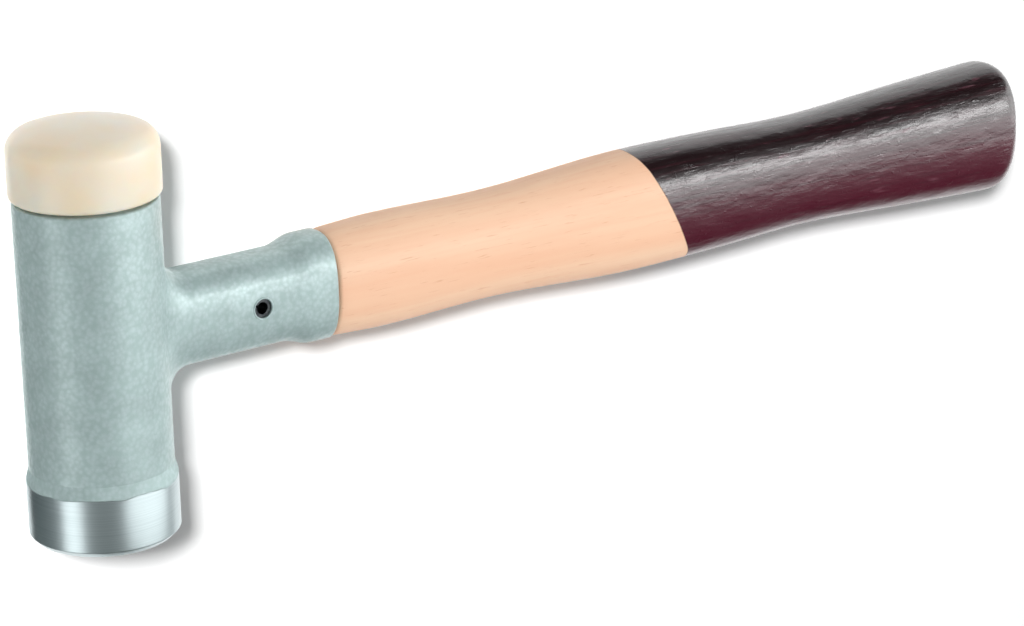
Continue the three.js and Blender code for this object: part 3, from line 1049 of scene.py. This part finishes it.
dark_card = new_finish("dark_card", base_color=CARD_GREY, roughness=CARD_ROUGHNESS)[0]
half_card = CARD_SIZE / 2
card_depth = sheet_depth - CARD_LIFT
card_places = {
    "left_card": Vector((PICTURE_LEFT - half_card, card_depth, tube_low.z)),
    "low_card": Vector((PICTURE_LEFT + half_card, card_depth, PICTURE_BOTTOM - half_card)),
}
for name, middle in card_places.items():
    card = lay_paper(name, dark_card, CARD_SIZE, middle)
    card.visible_camera = False
    card.visible_diffuse = False
    card.visible_shadow = False
print(len(card_places), "cards lie outside the picture")

# %% [markdown]
# ## Soft boxes
# A studio lights with soft boxes: lamps behind a sheet of cloth, so that their light has a size and a
# shape. An area lamp is the same. The helper places one by its direction from what it aims at, and
# takes its brightness as what a white card would show if the lamp filled its whole view, which stays
# the same when the lamp is resized.

# %% A soft box
def soft_box(name, aim, azimuth, elevation, distance, width, height, brightness, in_mirrors=True):
    """A rectangular lamp that the camera doesn't see; sizes are in mm and directions in degrees."""
    lamp = bpy.data.lights.new(name, "AREA")
    lamp.shape = "RECTANGLE"
    lamp.size = width * MM
    lamp.size_y = height * MM
    lamp.energy = brightness * math.pi * lamp.size * lamp.size_y
    turn, rise = math.radians(azimuth), math.radians(elevation)
    back = Vector((math.sin(turn) * math.cos(rise), -math.cos(turn) * math.cos(rise), math.sin(rise)))
    box = bpy.data.objects.new(name, lamp)
    box.location = (aim + back * distance) * MM
    box.rotation_euler = back.to_track_quat("Z", "Y").to_euler()
    box.visible_camera = False
    box.visible_glossy = in_mirrors
    scene.collection.objects.link(box)
    print(name, "gives", round(lamp.energy, 2), "W")
    return box


print("a square metre of soft box at a brightness of 1 gives", round(math.pi, 2), "W")

# %% [markdown]
# ## Lamps that mirrors see
# The bright bands of the steel and the streak on the grip tell how the photograph was lit. A wide box
# and a narrow bar stand on the right, a tall strip on the left, and the room is dim between them. The
# steel shows its right band lower than the wide box would, so that it has a small box of its own.

# %% Lamps that mirrors see
HEAD_MIDDLE = Vector((0, 0, 45))
STEEL_MIDDLE = Vector((0, 0, 8))

right_box = soft_box(
    "right_box", HEAD_MIDDLE, azimuth=48, elevation=1, distance=900,
    width=1600, height=440, brightness=2.1,
)
right_bar = soft_box(
    "right_bar", HEAD_MIDDLE, azimuth=30, elevation=8.5, distance=900,
    width=1100, height=70, brightness=11.0,
)
steel_box = soft_box(
    "steel_box", STEEL_MIDDLE, azimuth=39, elevation=-19, distance=300,
    width=440, height=90, brightness=1.35,
)
left_strip = soft_box(
    "left_strip", HEAD_MIDDLE, azimuth=-78, elevation=-12, distance=700,
    width=330, height=800, brightness=1.55,
)

# %% [markdown]
# ## Fill lamps
# The rest of the light is soft and has no shape in the photograph's highlights: a box near the camera,
# a weak one below, one behind for views of the other side and a faint one above the nylon. They could
# be a brighter room, but a room lights every side alike. These lamps are kept out of mirrors, so that
# they draw no extra highlights.

# %% Fill lamps
HAMMER_MIDDLE = Vector((110, 0, 45))
NYLON_MIDDLE = Vector((0, 0, 90))


def fill_box(name, aim, azimuth, elevation, distance, size, brightness):
    """A square soft box that mirrors don't see."""
    return soft_box(name, aim, azimuth, elevation, distance, size, size, brightness, in_mirrors=False)


camera_box = fill_box(
    "camera_box", HAMMER_MIDDLE, azimuth=-18, elevation=24, distance=1200,
    size=400, brightness=7.4,
)
low_box = fill_box(
    "low_box", HAMMER_MIDDLE, azimuth=12, elevation=-16, distance=900,
    size=500, brightness=2.5,
)
back_box = fill_box(
    "back_box", HAMMER_MIDDLE, azimuth=144.5, elevation=-18.7, distance=1500,
    size=300, brightness=34,
)
top_box = fill_box(
    "top_box", NYLON_MIDDLE, azimuth=0, elevation=88, distance=260,
    size=180, brightness=0.3,
)

# %% [markdown]
# ## Lamp for the sheet
# The photograph has one short shadow, below the handle and to the right of the head. One small lamp far
# away, a little to the left of the camera and above it, throws that shadow: its angle from the camera
# sets the shadow's width and its size sets how soft the edge is.

# %% Lamp for the sheet
sheet_lamp = fill_box(
    "sheet_box", HAMMER_MIDDLE, azimuth=-38.1, elevation=23, distance=3000,
    size=340, brightness=335,
)

# %% [markdown]
# ## Which lamp lights what
# The other boxes would throw wide shadows across the sheet, which the photograph does not have. Light
# linking names what a lamp lights and what blocks it: those boxes light all but the sheet and shine
# through it, the steel box lights the steel face alone and only in mirrors, and the sheet's lamp lights
# the sheet alone.

# %% Light linking
sheet_only = bpy.data.collections.new("lit_by_sheet_lamp")
sheet_only.objects.link(sheet)
sheet_lamp.light_linking.receiver_collection = sheet_only
all_but_sheet = bpy.data.collections.new("lit_by_object_lamps")
all_but_sheet.objects.link(sheet)
all_but_sheet.collection_objects[0].light_linking.link_state = "EXCLUDE"
object_lamps = [right_box, right_bar, steel_box, left_strip, camera_box, low_box, back_box, top_box]
for lamp in object_lamps:
    lamp.light_linking.receiver_collection = all_but_sheet
    lamp.light_linking.blocker_collection = all_but_sheet
steel_only = bpy.data.collections.new("lit_by_steel_lamp")
steel_only.objects.link(steel_face)
steel_box.light_linking.receiver_collection = steel_only
steel_box.visible_diffuse = False
print(len(object_lamps), "lamps light the hammer and one lights the sheet")

# %% [markdown]
# ## Room
# Between the lamps the steel and the lacquer mirror a dim room with a dark ceiling and a dark floor. A
# picture of a room could be used, but three greys are enough. The direction's height chooses between
# them, so that the dark upper side of the grip and the chamfer under the steel stay dark.

# %% Room
ROOM_LIGHT = 0.25
ROOM_CEILING = 0.03
ROOM_FLOOR = 0.03
ROOM_TINT = (0.95, 1.0, 1.0, 1)
CEILING_EDGE = (-0.25, 0.25)
FLOOR_EDGE = (-0.75, -0.45)

room = bpy.data.worlds.new("dim_room")
room.use_nodes = True
scene.world = room
tree = room.node_tree
background = tree.nodes["Background"]
direction = add_node(tree, "TexCoord").outputs["Generated"]
upward = add_node(tree, "SeparateXYZ", {0: direction}).outputs["Z"]
above = fade(tree, upward, CEILING_EDGE, (ROOM_LIGHT, ROOM_CEILING))
below = fade(tree, upward, FLOOR_EDGE, (ROOM_FLOOR, ROOM_LIGHT))
tree.links.new(calculate(tree, "MINIMUM", above, below), background.inputs["Strength"])
background.inputs["Color"].default_value = ROOM_TINT
print("room light", ROOM_LIGHT)

# %% [markdown]
# ## Camera
# The camera was fitted to the outline of the hammer in the photograph: it looks from the left and
# above, from almost a metre away, and is turned a little about its own axis. It could be aimed with a
# constraint, but its roll would be lost. It is built from the directions right, up and back, as columns
# of its matrix.

# %% Camera
IMAGE_WIDTH = 1024
FOCAL_PIXELS = 3689.17
SENSOR_WIDTH = 36
CAMERA_AZIMUTH = math.radians(-35.45)
CAMERA_ELEVATION = math.radians(18.71)
CAMERA_ROLL = math.radians(-1.316)
CAMERA_TARGET = Vector((117.27, 0, 28.04))
CAMERA_DISTANCE = 913.2

back = Vector((
    math.sin(CAMERA_AZIMUTH) * math.cos(CAMERA_ELEVATION),
    -math.cos(CAMERA_AZIMUTH) * math.cos(CAMERA_ELEVATION),
    math.sin(CAMERA_ELEVATION),
))
level_right = Vector((math.cos(CAMERA_AZIMUTH), math.sin(CAMERA_AZIMUTH), 0))
roll = Matrix.Rotation(CAMERA_ROLL, 3, back)
right = roll @ level_right
up = roll @ back.cross(level_right)
lens = bpy.data.cameras.new("photo_camera")
lens.sensor_width = SENSOR_WIDTH
lens.lens = FOCAL_PIXELS * SENSOR_WIDTH / IMAGE_WIDTH
camera = bpy.data.objects.new("photo_camera", lens)
turned_view = Matrix((right, up, back)).transposed().to_4x4()
camera.matrix_world = Matrix.Translation((CAMERA_TARGET + back * CAMERA_DISTANCE) * MM) @ turned_view
scene.collection.objects.link(camera)
scene.camera = camera
print("lens of", round(lens.lens, 1), "mm")
